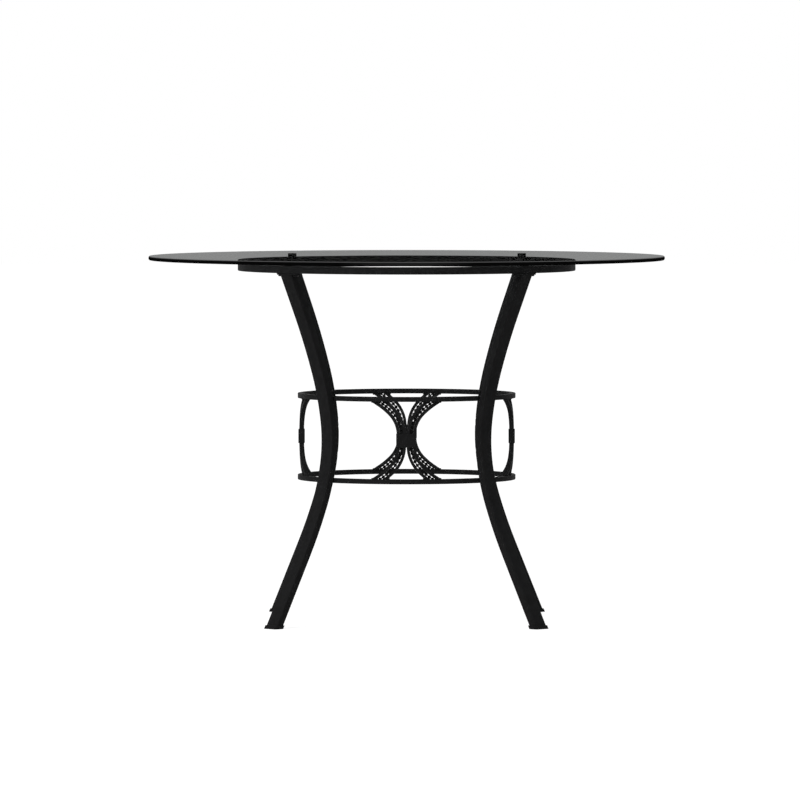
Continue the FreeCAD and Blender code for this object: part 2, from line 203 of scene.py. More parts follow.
def spaced(points, step, closed=False):
    """Points at even steps along a line through others."""
    line = [Vector(point) for point in points]
    if closed:
        line.append(line[0].copy())
    total = sum((high - low).length for low, high in zip(line, line[1:]))
    count = max(2, round(total / step))
    places = []
    walked = 0.0
    index = 0
    for number in range(count + (not closed)):
        goal = total * number / count
        while index < len(line) - 2 and walked + (line[index + 1] - line[index]).length < goal:
            walked += (line[index + 1] - line[index]).length
            index += 1
        low, high = line[index], line[index + 1]
        share = (goal - walked) / max((high - low).length, SHORTEST_RUN)
        places.append(low.lerp(high, min(1.0, share)))
    return places


def join_rings(bm, rings, closed=False):
    """Faces between rings of points, with both ends filled unless the rings close on themselves."""
    rings = [[bm.verts.new(point) for point in ring] for ring in rings]
    pairs = list(zip(rings, rings[1:]))
    if closed:
        pairs.append((rings[-1], rings[0]))
    else:
        bm.faces.new(rings[0])
        bm.faces.new(rings[-1])
    for low, high in pairs:
        for one in range(len(low)):
            two = (one + 1) % len(low)
            bm.faces.new((low[one], low[two], high[two], high[one]))


def level_bead(bm, points, radius, ripple, closed=False):
    """A weld bead along a level line, with the ripples of its drops."""
    step = ripple / BEAD_STEPS
    places = spaced(points, step, closed)
    count = len(places)
    rings = []
    for number, place in enumerate(places):
        before = places[number - 1] if closed or number else place
        after = places[(number + 1) % count] if closed or number < count - 1 else place
        along = (after - before).normalized()
        aside = along.cross(Vector((0, 0, 1)))
        drop = (number % BEAD_STEPS) / BEAD_STEPS
        size = radius * (BEAD_THIN + (1 - BEAD_THIN) * math.sqrt(1 - drop * drop))
        if not closed:
            from_end = min(number, count - 1 - number) * step
            size *= math.sqrt(1 - (1 - min(1.0, from_end / radius + BEAD_END)) ** 2)
        ring = []
        for side in range(BEAD_SIDES):
            angle = 2 * math.pi * side / BEAD_SIDES
            ring.append(place + aside * size * math.cos(angle) + Vector((0, 0, size * math.sin(angle))))
        rings.append(ring)
    join_rings(bm, rings, closed)


# The line of the scrolls, on a flat sheet that touches the middle of a panel


def scroll_stations(scroll):
    """Heights from the panel's middle and leans between which a scroll bends in one arc."""
    shares = zip(scroll.bend_shares, scroll.bend_angles)
    stations = [(share * panel_half, lean) for share, lean in shares]
    return stations + [(panel_half + scroll.width, stations[-1][1])]


def scroll_knot(scroll, height):
    """Place across the panel and lean of the middle of a scroll at a height from the panel's middle."""
    across = (scroll.throat + scroll.width) / 2
    reach = abs(height)
    lean = 0.0
    stations = scroll_stations(scroll)
    for (low, lean_low), (high, lean_high) in zip(stations, stations[1:]):
        if reach <= low:
            break
        rise = min(reach, high) - low
        if lean_low == lean_high:
            lean = lean_low
            across += rise * math.tan(lean)
        else:
            radius = (high - low) / (math.sin(lean_high) - math.sin(lean_low))
            lean = math.asin(math.sin(lean_low) + rise / radius)
            across += radius * (math.cos(lean_low) - math.cos(lean))
    return across, math.copysign(lean, height)


# Material helpers


class Nodes:
    """Builds the nodes of one material, or of the world, in few words."""

    def __init__(self, owner, output="ShaderNodeOutputMaterial"):
        self.owner = owner
        owner.use_nodes = True
        self.tree = owner.node_tree
        self.tree.nodes.clear()
        self.output = self.add(output)

    def add(self, kind, **values):
        """A node with its sockets or properties set, or linked where the value is a socket."""
        node = self.tree.nodes.new(kind)
        for key, value in values.items():
            name = key.replace("_", " ")
            if name in node.inputs:
                self.put(node.inputs[name], value)
            else:
                setattr(node, key, value)
        return node

    def put(self, socket, value):
        """Links a socket to the value if it is a socket, and sets it otherwise."""
        if isinstance(value, bpy.types.NodeSocket):
            self.tree.links.new(value, socket)
        else:
            socket.default_value = value

    def noise(self, scale, detail=4.0, roughness=0.55):
        """Noise in the table's own frame, with its scale in cells per metre."""
        place = self.add("ShaderNodeTexCoord").outputs["Object"]
        return self.add("ShaderNodeTexNoise", Vector=place, Scale=scale, Detail=detail,
                        Roughness=roughness)

    def spread(self, value, low, high, from_low=0.3, from_high=0.7):
        """Spreads a value over another range. Most of a noise lies between 0.3 and 0.7."""
        spreader = self.add("ShaderNodeMapRange", Value=value)
        ends = {"From Min": from_low, "From Max": from_high, "To Min": low, "To Max": high}
        for name, number in ends.items():
            spreader.inputs[name].default_value = number
        return spreader.outputs["Result"]

    def curve(self, value, points):
        """A number that follows a value through points of (value, number)."""
        ramp = self.add("ShaderNodeValToRGB", Fac=value)
        stops = ramp.color_ramp.elements
        while len(stops) < len(points):
            stops.new(0.5)
        for stop, (place, number) in zip(stops, points):
            stop.position = place
            stop.color = (number, number, number, 1)
        return ramp.outputs["Color"]

    def blend_colours(self, factor, one, two):
        """A colour, or a share as a grey, between two others."""
        mixer = self.add("ShaderNodeMix", data_type="RGBA")
        self.put(mixer.inputs["Factor"], factor)
        for index, colour in ((MIX_ONE, one), (MIX_TWO, two)):
            self.put(mixer.inputs[index], (*colour, 1) if isinstance(colour, tuple) else colour)
        return mixer.outputs[MIX_RESULT]

    def mix(self, factor, one, two):
        """A shader between two others."""
        mixer = self.add("ShaderNodeMixShader")
        for socket, value in zip(mixer.inputs, (factor, one, two)):
            self.put(socket, value)
        return mixer.outputs[0]

    def finish(self, shader):
        """Puts a shader on the surface, and gives the finished material or world."""
        self.put(self.output.inputs["Surface"], shader)
        return self.owner


def viewed(nodes):
    """1 for rays that see a surface straight, in a reflection or through glass, and 0 for others."""
    path = nodes.add("ShaderNodeLightPath")
    seen = path.outputs["Is Camera Ray"]
    for kind in ("Is Glossy Ray", "Is Transmission Ray"):
        most = nodes.add("ShaderNodeMath", operation="MAXIMUM")
        nodes.put(most.inputs[0], seen)
        nodes.put(most.inputs[1], path.outputs[kind])
        seen = most.outputs[0]
    return seen


# Sizes and colours that a user would change


class PaintSettings(bpy.types.PropertyGroup):
    """The black coat of the base."""
    colour: FloatVectorProperty(name="Colour", description="Colour of the coat", subtype="COLOR",
                                size=3, min=0, max=1, default=(0.0088, 0.0088, 0.009))
    pale_colour: FloatVectorProperty(name="Pale colour", description="Colour where the coat lies thick",
                                     subtype="COLOR", size=3, min=0, max=1,
                                     default=(0.0124, 0.0124, 0.0127))
    gloss: FloatProperty(name="Gloss", description="How much the coat shines", default=0.01, min=0, max=1,
                         subtype="FACTOR")
    roughness: FloatProperty(name="Roughness", description="Roughness of the coat", default=0.52, min=0,
                             max=1, subtype="FACTOR")
    peel_size: FloatProperty(name="Peel size", description="Size of the orange peel", default=0.0016,
                             min=0.0001, unit="LENGTH")
    peel_depth: FloatProperty(name="Peel depth", description="Depth of the orange peel", default=0.00004,
                              min=0, unit="LENGTH")


class FastenerSettings(bpy.types.PropertyGroup):
    """The screws and the nuts."""
    screw_colour: FloatVectorProperty(name="Screw colour", description="Colour of the screws' black oxide",
                                      subtype="COLOR", size=3, min=0, max=1, default=(0.013, 0.013, 0.014))
    screw_roughness: FloatProperty(name="Screw roughness", description="Least roughness of the screws",
                                   default=0.45, min=0, max=1, subtype="FACTOR")
    nut_colour: FloatVectorProperty(name="Nut colour", description="Colour of the nuts' zinc",
                                    subtype="COLOR", size=3, min=0, max=1, default=(0.62, 0.63, 0.64))
    nut_roughness: FloatProperty(name="Nut roughness", description="Least roughness of the nuts",
                                 default=0.3, min=0, max=1, subtype="FACTOR")


class GlassSettings(bpy.types.PropertyGroup):
    """The loose glass top."""
    arris: FloatProperty(name="Arris", description="Width of the ground arris", default=0.0012, min=0,
                         unit="LENGTH")
    bulge: FloatProperty(name="Bulge", description="How far the polished edge is crowned", default=0.0006,
                         min=0, unit="LENGTH")
    segments: IntProperty(name="Segments", description="Faces round the edge", default=360, min=24)
    bend: FloatProperty(name="Index", description="Index of refraction", default=1.5, min=1)
    clear_tint: FloatVectorProperty(name="Clear tint", size=3, min=0, max=1, default=(0.88, 0.892, 0.888),
                                    description="What one face lets through when seen from above",
                                    subtype="COLOR")
    low_tint: FloatVectorProperty(name="Low tint", size=3, min=0, max=1, default=(0.278, 0.279, 0.278),
                                  description="What one face lets through when seen edge on",
                                  subtype="COLOR")
    edge_tint: FloatVectorProperty(name="Edge tint", description="What the rim lets through",
                                   subtype="COLOR", size=3, min=0, max=1, default=(0.006, 0.008, 0.007))
    shade_tint: FloatVectorProperty(name="Shade tint", description="What light the whole glass lets through",
                                    subtype="COLOR", size=3, min=0, max=1, default=(0.78, 0.8, 0.795))


class PadSettings(bpy.types.PropertyGroup):
    """The rubber pads under the glass."""
    colour: FloatVectorProperty(name="Colour", description="Colour of the rubber", subtype="COLOR", size=3,
                                min=0, max=1, default=(0.007, 0.007, 0.007))
    edge: FloatProperty(name="Edge", description="Radius of the moulded edges", default=0.0012, min=0,
                        unit="LENGTH")
    groove: FloatProperty(name="Groove", description="Depth of the groove round the pad", default=0.0005,
                          min=0, unit="LENGTH")


class CapSettings(bpy.types.PropertyGroup):
    """The plastic foot caps."""
    colour: FloatVectorProperty(name="Colour", description="Colour of the plastic", subtype="COLOR", size=3,
                                min=0, max=1, default=(0.0078, 0.0078, 0.008))
    grain_size: FloatProperty(name="Grain size", description="Size of the moulded grain", default=0.0006,
                              min=0.0001, unit="LENGTH")


class WeldSettings(bpy.types.PropertyGroup):
    """The weld beads where bars and tubes meet."""
    scroll_bead: FloatProperty(name="Scroll bead", description="Radius of the beads at the scrolls' ends",
                               default=0.0016, min=0, unit="LENGTH")
    leg_bead: FloatProperty(name="Leg bead", description="Radius of the beads under the legs' plates",
                            default=0.0011, min=0, unit="LENGTH")
    ripple: FloatProperty(name="Ripple", description="Length of one ripple", default=0.0013, min=0.0001,
                          unit="LENGTH")


class ScrollSettings(bpy.types.PropertyGroup):
    """The scrolls between the hoops, and the twisted ribbons in them."""
    width: FloatProperty(name="Width", description="Width of a scroll over both bars", default=0.019, min=0,
                         unit="LENGTH")
    bar_width: FloatProperty(name="Bar width", description="Width of one bar", default=0.006, min=0,
                             unit="LENGTH")
    bar_depth: FloatProperty(name="Bar depth", description="Depth of a bar, toward the axis", default=0.009,
                             min=0, unit="LENGTH")
    throat: FloatProperty(name="Throat", description="Gap between two scrolls in their collar",
                          default=0.001, min=0, unit="LENGTH")
    bow: FloatProperty(name="Bow", description="How far a panel bows out between the hoops", default=0.0038,
                       min=0, unit="LENGTH")
    bend_shares: FloatVectorProperty(name="Bend shares", size=3, min=0, max=1, default=(0.143, 0.748, 1.0),
                                     description="Where the lean changes, as shares of the way to a hoop")
    bend_angles: FloatVectorProperty(name="Bend angles", description="Lean at each of these places", size=3,
                                     default=(0.0, math.radians(46.0), math.radians(60.3)),
                                     subtype="EULER", unit="ROTATION")
    ribbon_width: FloatProperty(name="Ribbon width", description="Width of a ribbon", default=0.0062, min=0,
                                unit="LENGTH")
    ribbon_thickness: FloatProperty(name="Ribbon thickness", description="Thickness of a ribbon",
                                    default=0.0016, min=0, unit="LENGTH")
    half_pitch: FloatProperty(name="Half pitch", description="Length of half a turn", default=0.0088,
                              min=0.001, unit="LENGTH")


class StudioSettings(bpy.types.PropertyGroup):
    """The plain studio and the camera."""
    floor_size: FloatProperty(name="Floor size", description="Side of the floor", default=60.0, min=1,
                              unit="LENGTH")
    sky_strength: FloatProperty(name="Sky strength", description="Light from all round", default=0.4, min=0)
    key_place: FloatVectorProperty(name="Key place", description="Place of the lamp at the front left",
                                   size=3, subtype="TRANSLATION", unit="LENGTH", default=(-5.0, -5.2, 5.0))
    key_size: FloatProperty(name="Key size", description="Side of that lamp", default=6.0, min=0,
                            unit="LENGTH")
    key_power: FloatProperty(name="Key power", description="Power of that lamp", default=600.0, min=0,
                             unit="POWER")
    fill_place: FloatVectorProperty(name="Fill place", description="Place of the lamp at the right",
                                    size=3, subtype="TRANSLATION", unit="LENGTH", default=(5.5, -3.2, 3.4))
    fill_size: FloatProperty(name="Fill size", description="Side of that lamp", default=4.0, min=0,
                             unit="LENGTH")
    fill_power: FloatProperty(name="Fill power", description="Power of that lamp", default=60.0, min=0,
                              unit="POWER")
    camera_place: FloatVectorProperty(name="Camera place", description="Where the camera stands", size=3,
                                      subtype="TRANSLATION", unit="LENGTH",
                                      default=(0.047, -17.36949, 1.162007))
    camera_pitch: FloatProperty(name="Camera pitch", description="How far the camera looks down",
                                default=0.04063, subtype="ANGLE", unit="ROTATION")
    camera_turn: FloatProperty(name="Camera turn", description="How far the camera looks to the left",
                               default=0.0034956, subtype="ANGLE", unit="ROTATION")
    lens: FloatProperty(name="Lens", description="Focal length", default=378.293, min=1,
                        subtype="DISTANCE_CAMERA")


SETTINGS = (
    ("table_paint", PaintSettings),
    ("table_fasteners", FastenerSettings),
    ("table_glass", GlassSettings),
    ("table_pads", PadSettings),
    ("table_caps", CapSettings),
    ("table_welds", WeldSettings),
    ("table_scrolls", ScrollSettings),
    ("table_studio", StudioSettings),
)


# Materials


def powder_coat(paint):
    """Black powder coat: two close blacks in soft clouds, with a fine orange peel."""
    roughness_swing, grit_fineness, grit_depth = 0.06, 4, 0.35
    nodes = Nodes(bpy.data.materials.new("powder_coat"))
    clouds = nodes.noise(scale=60.0, detail=6.0, roughness=0.65)
    colour = nodes.blend_colours(nodes.spread(clouds.outputs["Fac"], 0.0, 1.0), tuple(paint.colour),
                                 tuple(paint.pale_colour))
    patches = nodes.noise(scale=25.0)
    roughness = nodes.spread(patches.outputs["Fac"], paint.roughness - roughness_swing,
                             paint.roughness + roughness_swing)
    peel = nodes.noise(scale=1 / paint.peel_size, detail=3.0)
    grit = nodes.noise(scale=grit_fineness / paint.peel_size, detail=2.0)
    both = nodes.add("ShaderNodeMath", operation="MULTIPLY_ADD")
    for socket, value in zip(both.inputs, (grit.outputs["Fac"], grit_depth, peel.outputs["Fac"])):
        nodes.put(socket, value)
    bump = nodes.add("ShaderNodeBump", Height=both.outputs[0], Distance=paint.peel_depth, Strength=0.9)
    surface = nodes.add("ShaderNodeBsdfPrincipled", Normal=bump.outputs["Normal"])
    nodes.put(surface.inputs["Base Color"], colour)
    nodes.put(surface.inputs["Roughness"], roughness)
    nodes.put(surface.inputs["Specular IOR Level"], paint.gloss)
    return nodes.finish(surface.outputs[0])


def dull_black(name, colour, roughness, gloss, grain_size, grain_depth):
    """A dull black moulding with a fine grain, in two close blacks."""
    roughness_swing, pale_share = 0.05, 1.4
    nodes = Nodes(bpy.data.materials.new(name))
    grain = nodes.noise(scale=1 / grain_size, detail=3.0)
    clouds = nodes.noise(scale=90.0)
    paler = tuple(pale_share * part for part in colour)
    tone = nodes.blend_colours(nodes.spread(clouds.outputs["Fac"], 0.0, 1.0), colour, paler)
    bump = nodes.add("ShaderNodeBump", Height=grain.outputs["Fac"], Distance=grain_depth, Strength=0.8)
    surface = nodes.add("ShaderNodeBsdfPrincipled", Normal=bump.outputs["Normal"])
    nodes.put(surface.inputs["Base Color"], tone)
    nodes.put(surface.inputs["Roughness"], nodes.spread(grain.outputs["Fac"], roughness - roughness_swing,
                                                        roughness + roughness_swing))
    nodes.put(surface.inputs["Specular IOR Level"], gloss)
    return nodes.finish(surface.outputs[0])


def plated_metal(name, colour, roughness):
    """Screws and nuts: plain metal with fine marks, duller and darker in them."""
    roughness_swing, dark_share = 0.12, 0.8
    nodes = Nodes(bpy.data.materials.new(name))
    marks = nodes.noise(scale=900.0, detail=2.0)
    bump = nodes.add("ShaderNodeBump", Height=marks.outputs["Fac"], Distance=0.00002, Strength=0.6)
    surface = nodes.add("ShaderNodeBsdfPrincipled", Normal=bump.outputs["Normal"], Metallic=1.0)
    darker = tuple(dark_share * part for part in colour)
    worn = nodes.blend_colours(nodes.spread(marks.outputs["Fac"], 0.0, 1.0), colour, darker)
    nodes.put(surface.inputs["Base Color"], worn)
    nodes.put(surface.inputs["Roughness"], nodes.spread(marks.outputs["Fac"], roughness,
                                                        roughness + roughness_swing))
    return nodes.finish(surface.outputs[0])


def table_glass(glass):
    """Clear glass that bends what is behind it, passes less where it is seen edge on and lets the
    lamps through. Its rim is dark, because light goes a long way in it, with a pale line along the
    upper arris."""
    nodes = Nodes(bpy.data.materials.new("table_glass"))
    facing = nodes.add("ShaderNodeLayerWeight", Blend=0.5).outputs["Facing"]
    low_view = nodes.spread(facing, 0.0, 1.0, *TINT_TURN)
    face_tint = nodes.blend_colours(low_view, tuple(glass.clear_tint), tuple(glass.low_tint))
    normal = nodes.add("ShaderNodeNewGeometry").outputs["Normal"]
    upward = nodes.add("ShaderNodeSeparateXYZ", Vector=normal).outputs["Z"]
    level = nodes.add("ShaderNodeMath", operation="ABSOLUTE")
    nodes.put(level.inputs[0], upward)
    zone = nodes.curve(level.outputs[0], GLASS_ZONES)
    on_face = nodes.spread(zone, 0.0, 1.0, *ARRIS_TO_FACE)
    on_edge = nodes.spread(zone, 1.0, 0.0, *EDGE_TO_ARRIS)
    tint = nodes.blend_colours(on_face, tuple(glass.edge_tint), face_tint)
    through = nodes.add("ShaderNodeBsdfRefraction", Color=tint, Roughness=0.0, IOR=glass.bend)
    mirror = nodes.add("ShaderNodeBsdfGlossy", Color=(1, 1, 1, 1), Roughness=0.01)
    arris_share = nodes.spread(upward, 0.0, ARRIS_GLOSS, *DOWN_TO_UP)
    rim_share = nodes.blend_colours(on_edge, arris_share, nodes.curve(facing, EDGE_GLOSS))
    share = nodes.blend_colours(on_face, rim_share, nodes.curve(facing, FACE_GLOSS))
    seen = nodes.mix(share, through.outputs[0], mirror.outputs[0])
    passing = nodes.add("ShaderNodeBsdfTransparent", Color=(*glass.shade_tint, 1))
    path = nodes.add("ShaderNodeLightPath")
    return nodes.finish(nodes.mix(path.outputs["Is Shadow Ray"], seen, passing.outputs[0]))


def studio_floor():
    """White floor. It glows to the eye, and less near the table, where it takes the feet's shadow."""
    nodes = Nodes(bpy.data.materials.new("studio_floor"))
    place = nodes.add("ShaderNodeTexCoord").outputs["Object"]
    away = nodes.add("ShaderNodeVectorMath", operation="LENGTH", Vector=place).outputs["Value"]
    strength = nodes.spread(away, *FLOOR_GLOW, *FLOOR_REACH)
    glow = nodes.add("ShaderNodeEmission", Color=(1, 1, 1, 1), Strength=strength)
    grain = nodes.noise(scale=3.0)
    matt = nodes.add("ShaderNodeBsdfDiffuse", Roughness=0.5)
    nodes.put(matt.inputs["Color"], nodes.blend_colours(grain.outputs["Fac"], *FLOOR_LIT))
    faint = nodes.add("ShaderNodeBsdfDiffuse", Roughness=0.5)
    nodes.put(faint.inputs["Color"], nodes.blend_colours(grain.outputs["Fac"], *FLOOR_SEEN))
    bright = nodes.add("ShaderNodeAddShader")
    nodes.put(bright.inputs[0], faint.outputs[0])
    nodes.put(bright.inputs[1], glow.outputs[0])
    return nodes.finish(nodes.mix(viewed(nodes), matt.outputs[0], bright.outputs[0]))


# Pieces


class TABLE_OT_paint_base(bpy.types.Operator):
    """Coats the legs, hoops, ring, plates, scroll bars and collars"""
    bl_idname = "table.paint_base"
    bl_label = "Paint the base"

    def execute(self, context):
        coat = powder_coat(context.scene.table_paint)
        for subpart in frame["record"]["subparts"]:
            if subpart["material_slot"] == "frame_paint":
                node = frame["nodes"][subpart["node"]]
                node.data.materials.clear()
                node.data.materials.append(coat)
        return {"FINISHED"}


class TABLE_OT_dress_fasteners(bpy.types.Operator):
    """Finishes the screws and the nuts"""
    bl_idname = "table.dress_fasteners"
    bl_label = "Finish the fasteners"

    def execute(self, context):
        fasteners = context.scene.table_fasteners
        black_oxide = plated_metal("black_oxide", tuple(fasteners.screw_colour), fasteners.screw_roughness)
        zinc = plated_metal("zinc_plate", tuple(fasteners.nut_colour), fasteners.nut_roughness)
        for name, material, slot in (("plate_screws", black_oxide, "screw_black"),
                                     ("hoop_screws", black_oxide, "screw_black"),
                                     ("ring_rivet_nuts", zinc, "nut_zinc")):
            node = frame["nodes"][name]
            node.data.materials.clear()
            node.data.materials.append(material)
        return {"FINISHED"}


class TABLE_OT_make_glass_top(bpy.types.Operator):
    """Makes the loose glass top with its polished, crowned edge"""
    bl_idname = "table.make_glass_top"
    bl_label = "Make the glass top"

    def execute(self, context):
        glass = context.scene.table_glass
        radius = min(-glass_low.x, glass_high.x, -glass_low.y, glass_high.y)
        bottom, top = glass_low.z, glass_high.z
        wall = radius - glass.bulge
        flat = wall - glass.arris
        middle = (bottom + top) / 2
        low, high = bottom + glass.arris, top - glass.arris
        shoulder = wall + CROWN_HALF_WAY * glass.bulge
        edge = [(wall, low), (shoulder, (low + middle) / 2), (radius, middle),
                (shoulder, (high + middle) / 2), (wall, high)]
        profile = [(0, bottom), (flat, bottom), *edge, (flat, top), (0, top)]
        bm = turned_profile(profile, glass.segments)
        disc = piece_from(bm, "glass_disc", table_glass(glass), "glass", ("glass_top",))
        sharpen(disc.data, angle=20)
        return {"FINISHED"}


class TABLE_OT_make_pads(bpy.types.Operator):
    """Makes the rubber pads, with rounded edges and a groove"""
    bl_idname = "table.make_pads"
    bl_label = "Make the rubber pads"

    def execute(self, context):
        pads = context.scene.table_pads
        rubber = dull_black("pad_rubber", tuple(pads.colour), roughness=0.75, gloss=0.02,
                            grain_size=0.0009, grain_depth=0.00003)
        for corner, _ in CORNERS:
            low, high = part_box("glass_pad_" + corner)
            radius = (high.x - low.x) / 2
            stem = PAD_STEM * radius
            bottom, top = ring_high.z, high.z
            middle = (bottom + top) / 2
            inset = radius - pads.edge
            profile = [(0, low.z), (STEM_END_WIDTH * stem, low.z), (stem, low.z + STEM_END_HEIGHT * stem),
                       (stem, bottom)]
            profile += rounded_corner((inset, bottom + pads.edge), pads.edge, -90, 0, PAD_EDGE_STEPS)
            profile += [(radius, middle - pads.groove), (radius - pads.groove, middle),
                        (radius, middle + pads.groove)]
            profile += rounded_corner((inset, top - pads.edge), pads.edge, 0, 90, PAD_EDGE_STEPS)
            profile += [(stem, top), (0, top)]
            bm = turned_profile(profile, PAD_SEGMENTS)
            place = ((low.x + high.x) / 2, (low.y + high.y) / 2, 0)
            bmesh.ops.translate(bm, verts=bm.verts, vec=place)
            pad = piece_from(bm, "rubber_pad_" + corner, rubber, "frame",
                             ("glass_pad_" + corner,))
            sharpen(pad.data, angle=50)
        return {"FINISHED"}


class TABLE_OT_dress_caps(bpy.types.Operator):
    """Finishes the plastic foot caps"""
    bl_idname = "table.dress_caps"
    bl_label = "Finish the foot caps"

    def execute(self, context):
        caps = context.scene.table_caps
        plastic = dull_black("cap_plastic", tuple(caps.colour), roughness=0.62, gloss=0.02,
                             grain_size=caps.grain_size, grain_depth=0.00003)
        for corner, _ in CORNERS:
            node = frame["nodes"]["foot_cap_" + corner]
            node.data.materials.clear()
            node.data.materials.append(plastic)
        return {"FINISHED"}


class TABLE_OT_make_ribbons(bpy.types.Operator):
    """Makes the twisted ribbons between the scrolls' bars"""
    bl_idname = "table.make_ribbons"
    bl_label = "Make the twisted ribbons"

    def execute(self, context):
        scroll = context.scene.table_scrolls
        coat = bpy.data.materials["powder_coat"]
        for side, angle in SIDES:
            for hand_name, hand in HANDS:
                bm = bmesh.new()
                join_rings(bm, self.outlines(scroll, hand))
                for level, normal in ((panel_low.z, (0, 0, -1)), (panel_high.z, (0, 0, 1))):
                    parts = bm.verts[:] + bm.edges[:] + bm.faces[:]
                    bmesh.ops.bisect_plane(bm, geom=parts, plane_co=(0, 0, level), plane_no=normal,
                                           clear_outer=True)
                bmesh.ops.holes_fill(bm, edges=[edge for edge in bm.edges if edge.is_boundary])
                bmesh.ops.recalc_face_normals(bm, faces=bm.faces)
                bm.transform(Matrix.Rotation(math.radians(angle), 4, "Z"))
                name = side + "_" + hand_name
                ribbon = piece_from(bm, "ribbon_" + name, coat, "frame",
                                    ("scroll_" + name + "_ribbon",))
                sharpen(ribbon.data, angle=40)
        return {"FINISHED"}

    def heights(self, scroll):
        """Heights of the ribbon's outlines from the panel's middle, and the number of the first
        outline. They are numbered from the lower hoop, and there are whole half turns between
        the hoops. The ribbon runs on beyond both, to be cut off level."""
        levels = [panel_half * (share / LINE_POINTS - 1) for share in range(2 * LINE_POINTS + 1)]
        line = [Vector((scroll_knot(scroll, level)[0], level, 0)) for level in levels]
        length = sum((high - low).length for low, high in zip(line, line[1:]))
        step = length / (RIBBON_STEPS * max(1, round(length / scroll.half_pitch)))
        lean = scroll.bend_angles[2]
        beyond = math.ceil(scroll.ribbon_width * math.tan(lean) / step)
        rises = [number * step * math.cos(lean) for number in range(1, beyond + 1)]
        between = [place.y for place in spaced(line, step)]
        below = [-panel_half - rise for rise in reversed(rises)]
        return below + between + [panel_half + rise for rise in rises], -beyond

    def outlines(self, scroll, hand):
        """Outlines of the ribbon across its line, turned about it from one to the next."""
        middle_radius = hoop_inner + scroll.bar_depth / 2
        bow_radius = (panel_half ** 2 + scroll.bow ** 2) / (2 * scroll.bow)
        quarter = [(a * scroll.ribbon_width / 2, b * scroll.ribbon_thickness / 2) for a, b in RIBBON_CORNER]
        section = quarter + [(-a, b) for a, b in reversed(quarter)]
        section += [(-a, -b) for a, b in section]
        heights, first = self.heights(scroll)
        rings = []
        for number, height in enumerate(heights, first):
            across, lean = scroll_knot(scroll, height)
            azimuth = math.atan2(across, middle_radius)
            outward = Vector((math.cos(azimuth), math.sin(azimuth), 0))
            level_run = math.sin(lean) * math.cos(azimuth) ** 2
            along = Vector((-math.sin(azimuth) * level_run, math.cos(azimuth) * level_run, math.cos(lean)))
            sideways = along.normalized().cross(outward)
            radius = middle_radius - bow_radius + math.sqrt(bow_radius ** 2 - height ** 2)
            place = outward * radius + Vector((0, 0, panel_middle + height))
            turn = math.pi * number / RIBBON_STEPS
            wide = sideways * math.cos(turn) + outward * math.sin(turn)
            thin = outward * math.cos(turn) - sideways * math.sin(turn)
            points = [place + wide * a + thin * b for a, b in section]
            ring = [(point.x, hand * point.y, point.z) for point in points]
            rings.append(ring if hand > 0 else ring[::-1])
        return rings


class TABLE_OT_make_welds(bpy.types.Operator):
    """Lays the weld beads at the scrolls' ends and under the legs' plates"""
    bl_idname = "table.make_welds"
    bl_label = "Lay the weld beads"

    def execute(self, context):
        scroll, welds = context.scene.table_scrolls, context.scene.table_welds
        coat = bpy.data.materials["powder_coat"]
        for side, angle in SIDES:
            bm = bmesh.new()
            for _, hand in HANDS:
                for up in (1, -1):
                    for bar in (-1, 1):
                        self.scroll_end(bm, scroll, welds, hand, up, bar)
            bmesh.ops.recalc_face_normals(bm, faces=bm.faces)
            bm.transform(Matrix.Rotation(math.radians(angle), 4, "Z"))
            piece_from(bm, "scroll_welds_" + side, coat, "frame")
        for corner, angle in CORNERS:
            bm = bmesh.new()
            self.leg_top(bm, frame["nodes"]["leg_" + corner], math.radians(angle), welds)
            bmesh.ops.recalc_face_normals(bm, faces=bm.faces)
            piece_from(bm, "leg_weld_" + corner, coat, "frame")
        return {"FINISHED"}

    def scroll_end(self, bm, scroll, welds, hand, up, bar):
        """A bead round the three sides of a bar's end that lie under or on a hoop."""
        radius = welds.scroll_bead
        drop = BEAD_SUNK * radius
        across, lean = scroll_knot(scroll, panel_half)
        middle_radius = hoop_inner + scroll.bar_depth / 2
        bar_middle = bar * (scroll.width - scroll.bar_width) / 2
        edges = [across + (bar_middle + way * scroll.bar_width / 2) / math.cos(lean) - drop * math.tan(lean)
                 for way in (-1, 1)]
        near = hoop_inner + radius
        far = middle_radius + scroll.bar_depth / 2 - scroll.bow
        height = panel_middle + up * (panel_half - drop)
        grow = BAR_BEAD_OUT * radius
        corner = BEAD_CORNER * radius
        full, cut = CORNER_FULLNESS, 1 - CORNER_FULLNESS
        line = []
        for place, way in ((edges[0] - grow, 1), (edges[1] + grow, -1)):
            azimuth = math.atan2(place, middle_radius)
            turned_in = math.atan2(place + way * corner, middle_radius)
            half = [(near, azimuth), (far + grow - corner, azimuth),
                    (far + full * grow - cut * corner, full * azimuth + cut * turned_in),
                    (far + grow, turned_in)]
            line += half if way == 1 else half[::-1]
        points = [(reach * math.cos(a), hand * reach * math.sin(a), height) for reach, a in line]
        level_bead(bm, points, radius, welds.ripple)

    def leg_top(self, bm, leg, angle, welds):
        """A bead round the top of a leg, under its plate."""
        radius = welds.leg_bead
        places = [vertex.co.copy() for vertex in leg.data.vertices]
        top = max(place.z for place in places)
        ends = [place for place in places if top - place.z < LEVEL_TOLERANCE]
        hull = [ends[index] for index in convex_hull_2d([(end.x, end.y) for end in ends])]
        middle = sum(hull, Vector()) / len(hull)
        move = -radius * Vector((LEG_BEAD_IN * math.cos(angle), LEG_BEAD_IN * math.sin(angle), BEAD_SUNK))
        points = [corner + LEG_BEAD_OUT * radius * (corner - middle).normalized() + move for corner in hull]
        level_bead(bm, points, radius, welds.ripple, closed=True)


